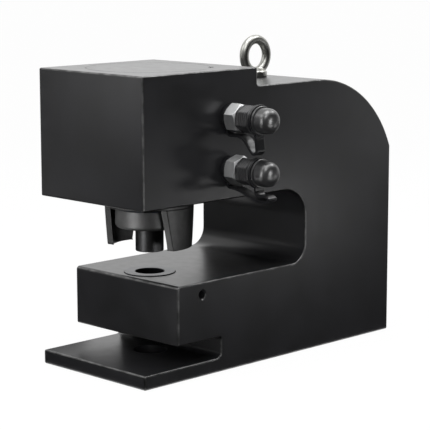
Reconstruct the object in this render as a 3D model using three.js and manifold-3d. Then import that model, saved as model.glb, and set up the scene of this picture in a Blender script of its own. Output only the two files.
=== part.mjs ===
// Hydraulic punching machine: a one-piece steel C-frame with a double-acting cylinder in its head,
// a punch and a stripper above a die table, a lifting eye bolt, and two hose couplers with dust caps.
// Lengths are in millimetres. The origin is the centre of the base's underside. +Z is up, the throat
// opens towards -X, and the couplers stand out towards -Y.
import * as THREE from 'three';
import { mergeVertices } from 'three/addons/utils/BufferGeometryUtils.js';
import Module from 'manifold-3d';

const wasm = await Module();
wasm.setup();

// Shared clearances and cutting overrun
const seatGap = 0.2;
const runningGap = 0.25;
const turnedGap = 0.3;
const overrun = 1;
const weldTolerance = 0.0001;

// Facets round a full turn
const fineFacets = 48;
const roundFacets = 36;
const smallFacets = 20;
const innerFacets = 32;
const cornerFacets = 24;
const backArcSteps = 20;
const eyeSectionFacets = 12;
const hexSides = 6;

// Frame outline, seen from the couplers' side
const bodyLength = 268;
const bodyWidth = 112;
const headTop = 222;
const headBottom = 127.5;
const headLength = 114;
const shoulderDrop = 13.5;
const shoulderFillet = 2;
const backArcRadius = 92;
const backArcOverhang = 6.5;
const throatBack = 167.3;
const throatUpperRadius = 23;
const throatLowerRadius = 14;
const tableFront = 32.5;
const tableTop = 70;
const tableBottom = 26;
const tableEdgeRadius = 2.6;
const basePlateThickness = 10.6;
const slotEnd = 76;
const slotUpperRadius = 2;
const slotLowerRadius = 4;
const edgeRadius = 1.2;
const sideChamfer = 0.8;

// Small edge break of the turned pieces: cap, nut and eye bolt
const edgeBreak = 0.5;

// Cylinder inside the head
const boreRadius = 40;
const floorThickness = 15.5;
const glandRadius = 28.5;
const glandDrop = 7.5;
const stroke = 20;
const rodRadius = 22.5;
const pistonLandHeight = 14;
const pistonHubRadius = 30;
const portDrillRadius = 3;
const portLandMargin = 1.4;

// Screwed cap of the cylinder
const capThreadRadius = 45.75;
const capThreadLength = 16;
const capSpigotLength = 6;
const capLockRadius = 2.2;
const capLockDepth = 8;
const capLockRecess = 0.7;
const capLockDegrees = -45;

// Rings and bush
const ringDepth = 2.6;
const ringWidth = 2.8;
const pistonSealDepth = 3.8;
const pistonSealWidth = 4;
const wearRingDepth = 2.4;
const wearRingWidth = 3.6;
const rodSealDepth = 3.4;
const rodSealWidth = 4;
const rodLip = 2;
const bushWall = 2.6;
const bushLength = 11;
const wiperDepth = 3.2;
const wiperWidth = 4;

// Punch and its nut
const rodThreadRadius = 21;
const nutRadius = 25.5;
const nutBottom = 104.4;
const nutLip = 3;
const nutRounding = 3;
const nutTopGap = 1.2;
const punchRadius = 10.5;
const punchHeadRadius = 15;
const punchHeadHeight = 5;
const punchBottom = 86.3;
const punchEdgeChamfer = 0.4;

// Stripper, screwed on the gland
const stripperDegrees = 14;
const stripperRingHeight = 7;
const stripperWall = 4.8;
const stripperBottom = 90;
const stripperBottomRadius = 31.8;
const stripperLegTopWidth = 37.5;
const stripperLegBottomWidth = 25.5;
const stripperEdgeChamfer = 0.6;

// Die, its slug way and its grub screw
const dieRadius = 19;
const dieProud = 1;
const dieSeatHeight = 40;
const dieBoreRadius = 10.9;
const dieRimChamfer = 0.6;
const dieLandHeight = 13;
const dieReliefRadius = 12.4;
const dieFlatDepth = 0.8;
const slugWayRadius = 13.5;
const baseHoleRadius = 12.5;
const dieScrewHeight = 60.8;
const dieScrewRadius = 3;
const dieScrewLength = 12;
const dieScrewSinkRadius = 4.1;
const socketDepth = 3;
const screwEdge = 0.4;
const socketShare = 0.58;

// Eye bolt
const eyePlace = 170;
const eyeRingRadius = 12.4;
const eyeSectionRadius = 3.6;
const eyeCentreRise = 16.5;
const eyeCollarRadius = 9.2;
const eyeCollarHeight = 5.4;
const eyeCollarTaper = 1.4;
const eyeThreadRadius = 4;
const eyeThreadLength = 13;

// Hose couplers
const portPlace = 84;
const upperPortDrop = 34.4;
const portSpacing = 37.8;
const portThreadRadius = 8.4;
const portThreadDepth = 13;
const neckLength = 4.6;
const hexAcrossFlats = 19.4;
const hexLength = 10.4;
const hexChamfer = 0.9;
const upperHexDegrees = 17;
const lowerHexDegrees = -20;
const noseRadius = 7.6;
const noseThreadLength = 11;
const tipRadius = 6.6;
const tipLength = 3;
const couplerBoreRadius = 4.6;
const couplerInnerRadius = 3;
const springSeatDepth = 7;
const couplerMouthRadius = 2.8;
const poppetHeadLength = 5;
const poppetStemRadius = 1.5;
const poppetNoseRadius = 1.9;
const poppetTravel = 4;
const springWall = 0.9;

// Dust cap on each coupler
const capGripAcrossFlats = 18;
const capGripRounding = 1.2;
const capSkirtLength = 12.4;
const upperCapDegrees = 4.5;
const lowerCapDegrees = -6.5;
const flangeRadius = 10.9;
const flangeThickness = 1.6;
const grooveRadius = 9.5;
const grooveWidth = 2.4;
const outerFlangeRadius = 10.4;
const domeRadius = 9.2;
const domeLength = 12.6;
const domeRounding = 5.2;
const domeCrown = 0.9;
const capCavityRadius = 6.2;
const capEndWall = 3.5;

// Swivel ring and rubber strap of each dust cap
const swivelRadius = 11.2;
const swivelTabWidth = 9.6;
const swivelTabLength = 1.4;
const swivelTabRounding = 0.6;
const strapWidth = 9;
const strapThickness = 2;
const strapHexGap = 0.3;
const strapRingRadius = 9.6;
const strapRingFaceGap = 0.4;
const strapHangGap = 1.4;
const lowerStrapDrop = 19.4;
const strapSteps = 32;

// Each strap's way from the swivel's distance out and from the depth below the coupler's axis:
// the first share is of the swivel's distance from the face, the second of the hanging depth
// between the run under the hexagon and the lowest point.
const upperStrapShares = [
  [0.26, 0], [0.47, 0.02], [0.62, 0.2], [0.735, 0.53], [0.83, 0.83], [0.925, 1],
  [1.02, 0.86], [1.023, 0.57],
];
const lowerStrapShares = [
  [0.26, 0.02], [0.46, 0.17], [0.65, 0.45], [0.88, 0.81], [1.11, 1], [1.325, 0.99],
  [1.41, 0.74], [1.33, 0.49], [1.21, 0.48], [1.075, 0.54],
];

// Heights and places worked out from the sizes above
const shoulderTop = headTop - shoulderDrop;
const glandBottom = headBottom - glandDrop;
const cylinderFloor = headBottom + floorThickness;
const capSeat = headTop - capThreadLength;
const capBottom = capSeat - capSpigotLength;
const workX = (headLength - bodyLength) / 2;
const upperPortHeight = headTop - upperPortDrop;
const lowerPortHeight = upperPortHeight - portSpacing;
const hexCorner = hexAcrossFlats / Math.sqrt(3);
const hexEnd = neckLength + hexLength;
const noseEnd = hexEnd + noseThreadLength;
const tipEnd = noseEnd + tipLength;
const skirtStart = hexEnd + turnedGap;
const flangeStart = skirtStart + capSkirtLength;
const grooveStart = flangeStart + flangeThickness;
const grooveEnd = grooveStart + grooveWidth;
const domeStart = grooveEnd + flangeThickness;
const domeEnd = domeStart + domeLength;
const swivelPlane = (grooveStart + grooveEnd) / 2;
const swivelTabEnd = swivelRadius + swivelTabLength;
const strapUnderHex = hexCorner + strapHexGap + strapThickness / 2;
const upperStrapDrop = portSpacing - swivelRadius - strapHangGap - strapThickness / 2;

const materials = {
  paintedSteel: new THREE.MeshStandardMaterial({ color: 0x1b1b1d, roughness: 0.42, metalness: 0.3 }),
  machinedSteel: new THREE.MeshStandardMaterial({ color: 0xa9abae, roughness: 0.3, metalness: 1 }),
  darkSteel: new THREE.MeshStandardMaterial({ color: 0x2b2c2f, roughness: 0.35, metalness: 0.8 }),
  toolSteel: new THREE.MeshStandardMaterial({ color: 0x3a3b3e, roughness: 0.3, metalness: 0.9 }),
  platedSteel: new THREE.MeshStandardMaterial({ color: 0xd5d6d8, roughness: 0.18, metalness: 1 }),
  bronze: new THREE.MeshStandardMaterial({ color: 0xb08d57, roughness: 0.4, metalness: 1 }),
  capPlastic: new THREE.MeshStandardMaterial({ color: 0x151517, roughness: 0.3, metalness: 0 }),
  rubber: new THREE.MeshStandardMaterial({ color: 0x1c1c1e, roughness: 0.6, metalness: 0 }),
  sealPlastic: new THREE.MeshStandardMaterial({ color: 0x3d5a73, roughness: 0.5, metalness: 0 }),
};

// A closed three.js geometry becomes a solid that can be cut and joined.
function toSolid(geometry) {
  const bare = geometry.clone();
  bare.deleteAttribute('normal');
  bare.deleteAttribute('uv');
  const welded = mergeVertices(bare, weldTolerance);
  const corners = welded.index.array;
  const kept = [];
  for (let i = 0; i < corners.length; i += 3) {
    const [a, b, c] = [corners[i], corners[i + 1], corners[i + 2]];
    if (a !== b && b !== c && c !== a) kept.push(a, b, c);
  }
  const vertProperties = new Float32Array(welded.attributes.position.array);
  const triVerts = new Uint32Array(kept);
  return new wasm.Manifold(new wasm.Mesh({ numProp: 3, vertProperties, triVerts }));
}

function toMesh(name, solid, material) {
  const { vertProperties, triVerts } = solid.getMesh();
  const geometry = new THREE.BufferGeometry();
  geometry.setAttribute('position', new THREE.BufferAttribute(vertProperties, 3));
  geometry.setIndex(new THREE.BufferAttribute(triVerts, 1));
  geometry.computeVertexNormals();
  const mesh = new THREE.Mesh(geometry, material);
  mesh.name = name;
  return mesh;
}

// A solid of revolution about Z from [radius, height] points, listed from the bottom up.
function turned(profile, facets) {
  const points = profile.map(([radius, height]) => new THREE.Vector2(radius, height));
  const geometry = new THREE.LatheGeometry(points, facets);
  geometry.rotateX(Math.PI / 2);
  return toSolid(geometry);
}

// A plain ring: its profile closes on itself.
function ring(inner, outer, bottom, top, facets) {
  return turned([[inner, bottom], [outer, bottom], [outer, top], [inner, top], [inner, bottom]], facets);
}

function rod(radius, bottom, top, facets) {
  return turned([[0, bottom], [radius, bottom], [radius, top], [0, top]], facets);
}

// A round bar along Y, from start to end.
function rodAlongY(radius, x, z, start, end, facets) {
  const geometry = new THREE.CylinderGeometry(radius, radius, end - start, facets);
  geometry.translate(x, (start + end) / 2, z);
  return toSolid(geometry);
}

function hexagon(acrossFlats, bottom, top) {
  const geometry = new THREE.CylinderGeometry(
    acrossFlats / Math.sqrt(3), acrossFlats / Math.sqrt(3), top - bottom, hexSides);
  geometry.rotateY(Math.PI / hexSides);
  geometry.rotateX(Math.PI / 2);
  geometry.translate(0, 0, (bottom + top) / 2);
  return toSolid(geometry);
}

// Points of a round corner at a vertex between two straight edges.
function roundedCorner(before, corner, after, radius) {
  const inward = new THREE.Vector2().subVectors(before, corner).normalize();
  const onward = new THREE.Vector2().subVectors(after, corner).normalize();
  const halfAngle = Math.acos(inward.dot(onward)) / 2;
  const tangent = radius / Math.tan(halfAngle);
  const start = corner.clone().addScaledVector(inward, tangent);
  const bisector = inward.clone().add(onward).normalize();
  const centre = corner.clone().addScaledVector(bisector, radius / Math.sin(halfAngle));
  const arm = start.clone().sub(centre);
  const side = Math.sign(inward.y * onward.x - inward.x * onward.y);
  const sweep = side * (Math.PI - 2 * halfAngle);
  const steps = Math.max(2, Math.round(Math.abs(sweep) / (2 * Math.PI) * cornerFacets));
  const points = [];
  for (let i = 0; i <= steps; i += 1) {
    points.push(arm.clone().rotateAround(new THREE.Vector2(0, 0), sweep * i / steps).add(centre));
  }
  return points;
}

// A closed outline from [x, z, radius] corners.
function roundedOutline(corners) {
  const places = corners.map(([x, z]) => new THREE.Vector2(x, z));
  const outline = [];
  corners.forEach(([, , radius], i) => {
    const before = places[(i + places.length - 1) % places.length];
    const after = places[(i + 1) % places.length];
    if (radius > 0) outline.push(...roundedCorner(before, places[i], after, radius));
    else outline.push(places[i]);
  });
  return outline;
}

// The long arc over the back of the frame, listed from the back face up to the shoulder.
function backArcCorners() {
  const centreX = bodyLength - backArcRadius + backArcOverhang;
  const centreZ = shoulderTop - backArcRadius;
  const startAngle = Math.acos((bodyLength - centreX) / backArcRadius);
  const steps = backArcSteps;
  const corners = [];
  for (let i = 0; i <= steps; i += 1) {
    const angle = startAngle + (Math.PI / 2 - startAngle) * i / steps;
    corners.push([centreX + backArcRadius * Math.cos(angle), centreZ + backArcRadius * Math.sin(angle), 0]);
  }
  return corners;
}

// The frame's side outline, from its front face at zero to the back.
function frameOutline() {
  return roundedOutline([
    [0, 0, edgeRadius],
    [bodyLength, 0, edgeRadius],
    ...backArcCorners(),
    [headLength, shoulderTop, shoulderFillet],
    [headLength, headTop, edgeRadius],
    [0, headTop, edgeRadius],
    [0, headBottom, edgeRadius],
    [throatBack, headBottom, throatUpperRadius],
    [throatBack, tableTop, throatLowerRadius],
    [tableFront, tableTop, tableEdgeRadius],
    [tableFront, tableBottom, edgeRadius],
    [slotEnd, tableBottom, slotUpperRadius],
    [slotEnd, basePlateThickness, slotLowerRadius],
    [0, basePlateThickness, edgeRadius],
  ]);
}

function frameBlock() {
  const geometry = new THREE.ExtrudeGeometry(new THREE.Shape(frameOutline()), {
    depth: bodyWidth - 2 * sideChamfer,
    bevelThickness: sideChamfer,
    bevelSize: sideChamfer,
    bevelOffset: -sideChamfer,
    bevelSegments: 1,
  });
  geometry.rotateX(Math.PI / 2);
  geometry.translate(-bodyLength / 2, bodyWidth / 2 - sideChamfer, 0);
  return toSolid(geometry);
}

// The nut traps the punch's head against the end of the rod
const nutTop = glandBottom - nutTopGap;
const rodEnd = nutBottom + nutLip + punchHeadHeight + 2 * seatGap;
const rodThreadTop = nutTop + seatGap;

// Radii and heights that the gland shares with the rings in it
const rodBoreRadius = rodRadius + 2 * runningGap;
const wiperTop = glandBottom + wiperWidth + seatGap;
const bushTop = wiperTop + bushLength + seatGap;
const rodSealBottom = bushTop + rodLip;
const rodSealTop = rodSealBottom + rodSealWidth + seatGap;
const wiperRadius = rodRadius + wiperDepth;
const bushRadius = rodRadius + bushWall;
const rodSealRadius = rodRadius + rodSealDepth;

function boreCutter() {
  return turned([
    [0, headBottom - overrun],
    [glandRadius + seatGap, headBottom - overrun], [glandRadius + seatGap, cylinderFloor],
    [boreRadius, cylinderFloor], [boreRadius, capSeat],
    [capThreadRadius, capSeat], [capThreadRadius, headTop + overrun],
    [0, headTop + overrun],
  ], fineFacets).translate(workX, 0, 0);
}

function slugWayCutter() {
  const slotMiddle = (basePlateThickness + tableBottom) / 2;
  return turned([
    [0, -overrun],
    [baseHoleRadius, -overrun], [baseHoleRadius, slotMiddle],
    [slugWayRadius, slotMiddle], [slugWayRadius, dieSeatHeight],
    [dieRadius + seatGap, dieSeatHeight], [dieRadius + seatGap, tableTop + overrun],
    [0, tableTop + overrun],
  ], roundFacets).translate(workX, 0, 0);
}

// A hose port: a threaded hole in the near side and a drill way on into the bore.
function portCutter(height) {
  const x = portPlace - bodyLength / 2;
  const face = -bodyWidth / 2;
  const reach = -Math.sqrt(boreRadius ** 2 - (x - workX) ** 2);
  const thread = rodAlongY(
    portThreadRadius + seatGap, x, height, face - overrun, face + portThreadDepth, smallFacets);
  const drill = rodAlongY(portDrillRadius, x, height, face, reach + portDrillRadius, smallFacets);
  return thread.add(drill);
}

function dieScrewCutter() {
  const face = -bodyWidth / 2;
  const hole = rodAlongY(
    dieScrewRadius + seatGap, workX, dieScrewHeight, face - overrun, -dieReliefRadius, smallFacets);
  const sink = turned([
    [0, -overrun], [dieScrewSinkRadius + overrun, -overrun],
    [dieScrewRadius, dieScrewSinkRadius - dieScrewRadius],
    [0, dieScrewSinkRadius - dieScrewRadius],
  ], smallFacets);
  return hole.add(sink.rotate([-90, 0, 0]).translate(workX, face, dieScrewHeight));
}

function capLockPlace() {
  const angle = THREE.MathUtils.degToRad(capLockDegrees);
  return [workX + capThreadRadius * Math.cos(angle), capThreadRadius * Math.sin(angle)];
}

function capLockCutter() {
  return rod(capLockRadius, headTop - capLockDepth, headTop + overrun, smallFacets)
    .translate(...capLockPlace(), 0);
}

function eyeHoleCutter() {
  const bottom = shoulderTop - eyeThreadLength - overrun;
  return rod(eyeThreadRadius + seatGap, bottom, shoulderTop + overrun, smallFacets)
    .translate(eyePlace - bodyLength / 2, 0, 0);
}

function frame() {
  const solid = frameBlock()
    .subtract(boreCutter())
    .subtract(slugWayCutter())
    .subtract(portCutter(upperPortHeight))
    .subtract(portCutter(lowerPortHeight))
    .subtract(dieScrewCutter())
    .subtract(capLockCutter())
    .subtract(eyeHoleCutter());
  return toMesh('frame', solid, materials.paintedSteel);
}

const capRadius = capThreadRadius - runningGap;
const spigotRadius = boreRadius - runningGap;
const capRingBottom = capBottom + (capSpigotLength - ringWidth) / 2;

function cylinderCap() {
  const solid = turned([
    [0, capBottom], [spigotRadius, capBottom],
    [spigotRadius, capRingBottom], [spigotRadius - ringDepth, capRingBottom],
    [spigotRadius - ringDepth, capRingBottom + ringWidth], [spigotRadius, capRingBottom + ringWidth],
    [spigotRadius, capSeat + seatGap], [capRadius, capSeat + seatGap],
    [capRadius, headTop - edgeBreak], [capRadius - edgeBreak, headTop],
    [0, headTop],
  ], fineFacets).translate(workX, 0, 0);
  return toMesh('cylinder_cap', solid.subtract(capLockCutter()), materials.paintedSteel);
}

function capSeal() {
  const solid = ring(
    spigotRadius - ringDepth + seatGap, spigotRadius,
    capRingBottom + seatGap, capRingBottom + ringWidth - seatGap, innerFacets);
  return toMesh('cap_seal', solid.translate(workX, 0, 0), materials.rubber);
}

// A hexagon socket cut into the top of a grub screw along Z.
function socketScrew(radius, bottom, top) {
  const body = turned([
    [0, bottom], [radius - screwEdge, bottom], [radius, bottom + screwEdge],
    [radius, top - screwEdge], [radius - screwEdge, top], [0, top],
  ], smallFacets);
  return body.subtract(hexagon(2 * radius * socketShare, top - socketDepth, top + overrun));
}

function capLockScrew() {
  const bottom = headTop - capLockDepth + seatGap;
  const solid = socketScrew(capLockRadius - seatGap, bottom, headTop - capLockRecess);
  return toMesh('cap_lock_screw', solid.translate(...capLockPlace(), 0), materials.darkSteel);
}

// The piston and rod in one piece. It rests against the cap; its hub meets the floor at full stroke.
const pistonHubBottom = cylinderFloor + stroke + seatGap;
const pistonTop = capBottom - seatGap;
const landTop = upperPortHeight - portDrillRadius - portLandMargin;
const landBottom = landTop - pistonLandHeight;
const landRadius = boreRadius - runningGap;
const grooveSpacing = (pistonLandHeight - wearRingWidth - pistonSealWidth) / 3;
const wearRingBottom = landBottom + grooveSpacing;
const pistonSealBottom = landTop - grooveSpacing - pistonSealWidth;

function ram() {
  const solid = turned([
    [0, rodEnd], [rodThreadRadius, rodEnd], [rodThreadRadius, rodThreadTop], [rodRadius, rodThreadTop],
    [rodRadius, pistonHubBottom], [pistonHubRadius, pistonHubBottom],
    [pistonHubRadius, landBottom], [landRadius, landBottom],
    [landRadius, wearRingBottom], [landRadius - wearRingDepth, wearRingBottom],
    [landRadius - wearRingDepth, wearRingBottom + wearRingWidth],
    [landRadius, wearRingBottom + wearRingWidth],
    [landRadius, pistonSealBottom], [landRadius - pistonSealDepth, pistonSealBottom],
    [landRadius - pistonSealDepth, pistonSealBottom + pistonSealWidth],
    [landRadius, pistonSealBottom + pistonSealWidth],
    [landRadius, landTop], [pistonHubRadius, landTop],
    [pistonHubRadius, pistonTop], [0, pistonTop],
  ], fineFacets).translate(workX, 0, 0);
  return toMesh('ram', solid, materials.machinedSteel);
}

function pistonRing(name, bottom, width, depth, material) {
  const solid = ring(
    landRadius - depth + seatGap, landRadius,
    bottom + seatGap, bottom + width - seatGap, innerFacets);
  return toMesh(name, solid.translate(workX, 0, 0), material);
}

// The gland is screwed up into the head. It holds the rod's rings and carries the stripper.
function rodGland() {
  const top = cylinderFloor - seatGap;
  const solid = turned([
    [wiperRadius + seatGap, glandBottom], [glandRadius, glandBottom], [glandRadius, top],
    [rodBoreRadius, top], [rodBoreRadius, rodSealTop],
    [rodSealRadius + seatGap, rodSealTop], [rodSealRadius + seatGap, rodSealBottom],
    [rodBoreRadius, rodSealBottom], [rodBoreRadius, bushTop],
    [bushRadius + seatGap, bushTop], [bushRadius + seatGap, wiperTop],
    [wiperRadius + seatGap, wiperTop], [wiperRadius + seatGap, glandBottom],
  ], fineFacets).translate(workX, 0, 0);
  return toMesh('rod_gland', solid, materials.darkSteel);
}

function rodRing(name, outer, bottom, top, material) {
  const solid = ring(rodRadius + runningGap, outer, bottom, top, innerFacets);
  return toMesh(name, solid.translate(workX, 0, 0), material);
}

function punchNut() {
  const lipTop = nutBottom + nutLip;
  const arc = [];
  const steps = cornerFacets / 4;
  for (let i = 0; i <= steps; i += 1) {
    const angle = Math.PI / 2 * (i / steps - 1);
    arc.push([
      nutRadius - nutRounding + nutRounding * Math.cos(angle),
      nutBottom + nutRounding + nutRounding * Math.sin(angle),
    ]);
  }
  const solid = turned([
    [punchRadius + seatGap, nutBottom], ...arc,
    [nutRadius, nutTop - edgeBreak], [nutRadius - edgeBreak, nutTop],
    [rodThreadRadius + seatGap, nutTop], [rodThreadRadius + seatGap, rodEnd - seatGap],
    [punchHeadRadius + seatGap, rodEnd - seatGap], [punchHeadRadius + seatGap, lipTop],
    [punchRadius + seatGap, lipTop], [punchRadius + seatGap, nutBottom],
  ], fineFacets).translate(workX, 0, 0);
  return toMesh('punch_nut', solid, materials.darkSteel);
}

function punch() {
  const headBase = nutBottom + nutLip + seatGap;
  const solid = turned([
    [0, punchBottom], [punchRadius - punchEdgeChamfer, punchBottom],
    [punchRadius, punchBottom + punchEdgeChamfer], [punchRadius, headBase],
    [punchHeadRadius, headBase], [punchHeadRadius, headBase + punchHeadHeight],
    [0, headBase + punchHeadHeight],
  ], roundFacets).translate(workX, 0, 0);
  return toMesh('punch', solid, materials.toolSteel);
}

// The two legs are what a tapered block leaves of a cone below the ring.
function stripperLegBlock(top) {
  const [halfTop, halfBottom] = [stripperLegTopWidth / 2, stripperLegBottomWidth / 2];
  const reach = glandRadius + 2 * stripperWall;
  const below = stripperBottom - overrun;
  const shape = new THREE.Shape([
    new THREE.Vector2(-halfBottom, below), new THREE.Vector2(halfBottom, below),
    new THREE.Vector2(halfBottom, stripperBottom), new THREE.Vector2(halfTop, top),
    new THREE.Vector2(-halfTop, top), new THREE.Vector2(-halfBottom, stripperBottom),
  ]);
  const geometry = new THREE.ExtrudeGeometry(shape, { depth: 2 * reach, bevelEnabled: false });
  geometry.rotateX(Math.PI / 2);
  geometry.translate(0, reach, 0);
  return toSolid(geometry);
}

function stripper() {
  const ringTop = headBottom - seatGap;
  const ringBottom = headBottom - stripperRingHeight;
  const inner = glandRadius + turnedGap;
  const outer = glandRadius + stripperWall;
  const edge = stripperEdgeChamfer;
  const cone = turned([
    [stripperBottomRadius - stripperWall, stripperBottom],
    [stripperBottomRadius - edge, stripperBottom],
    [stripperBottomRadius, stripperBottom + edge],
    [outer, ringTop], [inner, ringTop], [inner, ringBottom - edge],
    [stripperBottomRadius - stripperWall, stripperBottom],
  ], fineFacets);
  const ringZone = rod(outer + overrun, ringBottom, ringTop + overrun, smallFacets);
  const solid = cone.intersect(stripperLegBlock(ringBottom + overrun).add(ringZone));
  const mesh = toMesh('stripper', solid, materials.darkSteel);
  mesh.position.x = workX;
  mesh.rotation.z = THREE.MathUtils.degToRad(stripperDegrees);
  return mesh;
}

function die() {
  const base = dieSeatHeight + seatGap;
  const top = tableTop + dieProud;
  const flat = dieRadius - dieFlatDepth;
  const body = turned([
    [dieReliefRadius, base], [dieRadius, base],
    [dieRadius, top - dieRimChamfer], [dieRadius - dieRimChamfer, top],
    [dieBoreRadius + dieRimChamfer, top], [dieBoreRadius, top - dieRimChamfer],
    [dieBoreRadius, top - dieLandHeight], [dieReliefRadius, top - dieLandHeight],
    [dieReliefRadius, base],
  ], roundFacets);
  const spot = rodAlongY(2 * dieScrewRadius, 0, dieScrewHeight, -dieRadius - overrun, -flat, smallFacets);
  return toMesh('die', body.subtract(spot).translate(workX, 0, 0), materials.toolSteel);
}

function dieSetScrew() {
  const tip = -(dieRadius - dieFlatDepth) - seatGap;
  const solid = socketScrew(dieScrewRadius, 0, dieScrewLength)
    .rotate([90, 0, 0])
    .translate(workX, tip, dieScrewHeight);
  return toMesh('die_set_screw', solid, materials.darkSteel);
}

function eyeBolt() {
  const base = shoulderTop + seatGap;
  const collarTop = base + eyeCollarHeight;
  const stem = turned([
    [0, shoulderTop - eyeThreadLength], [eyeThreadRadius, shoulderTop - eyeThreadLength],
    [eyeThreadRadius, base], [eyeCollarRadius - edgeBreak, base],
    [eyeCollarRadius, base + edgeBreak], [eyeCollarRadius, collarTop - eyeCollarTaper],
    [eyeCollarRadius - eyeCollarTaper, collarTop], [0, collarTop],
  ], smallFacets);
  const torus = new THREE.TorusGeometry(eyeRingRadius, eyeSectionRadius, eyeSectionFacets, cornerFacets);
  torus.rotateX(Math.PI / 2);
  torus.translate(0, 0, shoulderTop + eyeCentreRise);
  const under = rod(eyeCollarRadius, shoulderTop - eyeThreadLength, base, smallFacets);
  const hoop = toSolid(torus).subtract(under);
  const solid = stem.add(hoop).translate(eyePlace - bodyLength / 2, 0, 0);
  return toMesh('eye_bolt', solid, materials.platedSteel);
}

// Pieces of a coupler stand along their own +Z, which points out of the near side.
function couplerBody(prefix, degrees) {
  const hexBlank = hexagon(hexAcrossFlats, neckLength, hexEnd).rotate([0, 0, -degrees]);
  const flatRadius = hexAcrossFlats / 2;
  const crown = turned([
    [0, neckLength], [flatRadius, neckLength], [hexCorner, neckLength + hexChamfer],
    [hexCorner, hexEnd - hexChamfer], [flatRadius, hexEnd], [0, hexEnd],
  ], roundFacets);
  const shank = turned([
    [0, turnedGap - portThreadDepth], [portThreadRadius, turnedGap - portThreadDepth],
    [portThreadRadius, neckLength + overrun], [noseRadius, neckLength + overrun],
    [noseRadius, noseEnd], [tipRadius, noseEnd + tipLength / 3],
    [tipRadius, tipEnd], [0, tipEnd],
  ], smallFacets);
  const bore = turned([
    [0, -portThreadDepth - overrun], [couplerInnerRadius, -portThreadDepth - overrun],
    [couplerInnerRadius, -springSeatDepth], [couplerBoreRadius, -springSeatDepth],
    [couplerBoreRadius, noseEnd], [couplerMouthRadius, noseEnd + couplerBoreRadius - couplerMouthRadius],
    [couplerMouthRadius, tipEnd + overrun], [0, tipEnd + overrun],
  ], smallFacets);
  const solid = hexBlank.intersect(crown).add(shank).subtract(bore);
  return toMesh(`${prefix}_coupler_body`, solid, materials.platedSteel);
}

const poppetTop = noseEnd - turnedGap;
const poppetShoulder = poppetTop - poppetHeadLength;

function couplerPoppet(prefix) {
  const headRadius = couplerBoreRadius - turnedGap;
  const coneTop = poppetTop + headRadius - poppetNoseRadius;
  const solid = turned([
    [0, poppetShoulder - poppetTravel], [poppetStemRadius, poppetShoulder - poppetTravel],
    [poppetStemRadius, poppetShoulder], [headRadius, poppetShoulder],
    [headRadius, poppetTop], [poppetNoseRadius, coneTop],
    [poppetNoseRadius, tipEnd - turnedGap], [0, tipEnd - turnedGap],
  ], smallFacets);
  return toMesh(`${prefix}_coupler_poppet`, solid, materials.machinedSteel);
}

function poppetSpring(prefix) {
  const outer = couplerBoreRadius - turnedGap;
  const solid = ring(
    outer - springWall, outer, turnedGap - springSeatDepth, poppetShoulder - turnedGap, smallFacets);
  return toMesh(`${prefix}_poppet_spring`, solid, materials.machinedSteel);
}

// The cap's grip: a hexagon with rounded corners.
function gripOutline() {
  const corners = [];
  for (let i = 0; i < hexSides; i += 1) {
    const angle = 2 * Math.PI * i / hexSides;
    const reach = capGripAcrossFlats / Math.sqrt(3);
    corners.push([reach * Math.cos(angle), reach * Math.sin(angle), capGripRounding]);
  }
  return roundedOutline(corners);
}

// The dome's rounded shoulder, then its shallow crown up to the axis.
function domeArc() {
  const steps = cornerFacets / 4;
  const crownRadius = domeRadius - domeRounding;
  const arc = [];
  for (let i = 0; i <= steps; i += 1) {
    const angle = Math.PI / 2 * i / steps;
    arc.push([
      crownRadius + domeRounding * Math.cos(angle),
      domeEnd - domeCrown - domeRounding + domeRounding * Math.sin(angle),
    ]);
  }
  for (let i = 1; i <= steps; i += 1) {
    const share = 1 - i / steps;
    arc.push([crownRadius * share, domeEnd - domeCrown * share ** 2]);
  }
  return arc;
}

function dustCap(prefix, degrees) {
  const grip = toSolid(new THREE.ExtrudeGeometry(
    new THREE.Shape(gripOutline()), { depth: capSkirtLength + overrun, bevelEnabled: false }));
  const head = turned([
    [0, flangeStart], [flangeRadius, flangeStart], [flangeRadius, grooveStart],
    [grooveRadius, grooveStart], [grooveRadius, grooveEnd],
    [outerFlangeRadius, grooveEnd], [outerFlangeRadius, domeStart],
    [domeRadius, domeStart], ...domeArc(),
  ], roundFacets);
  const threadEnd = tipEnd + turnedGap;
  const cavityEnd = domeEnd - capEndWall - domeCrown;
  const cavity = turned([
    [0, skirtStart - overrun], [noseRadius + turnedGap, skirtStart - overrun],
    [noseRadius + turnedGap, threadEnd], [capCavityRadius, threadEnd],
    [capCavityRadius, cavityEnd], [0, cavityEnd],
  ], smallFacets);
  const skirt = grip.rotate([0, 0, -degrees]).translate(0, 0, skirtStart);
  return toMesh(`${prefix}_dust_cap`, skirt.add(head).subtract(cavity), materials.capPlastic);
}

// A loose ring in the cap's groove, with a tab that points down to the strap.
function capSwivel(prefix) {
  const thickness = grooveWidth - 2 * turnedGap;
  const half = swivelTabWidth / 2;
  const bottom = -swivelTabEnd;
  const tabCorners = [
    [-half, 0, 0], [-half, bottom, swivelTabRounding], [half, bottom, swivelTabRounding], [half, 0, 0],
  ];
  const tab = toSolid(new THREE.ExtrudeGeometry(
    new THREE.Shape(roundedOutline(tabCorners)), { depth: thickness, bevelEnabled: false }));
  const solid = rod(swivelRadius, 0, thickness, roundFacets)
    .add(tab)
    .subtract(rod(grooveRadius + turnedGap, -overrun, thickness + overrun, roundFacets))
    .translate(0, 0, grooveStart + turnedGap);
  return toMesh(`${prefix}_cap_swivel`, solid, materials.rubber);
}

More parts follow.
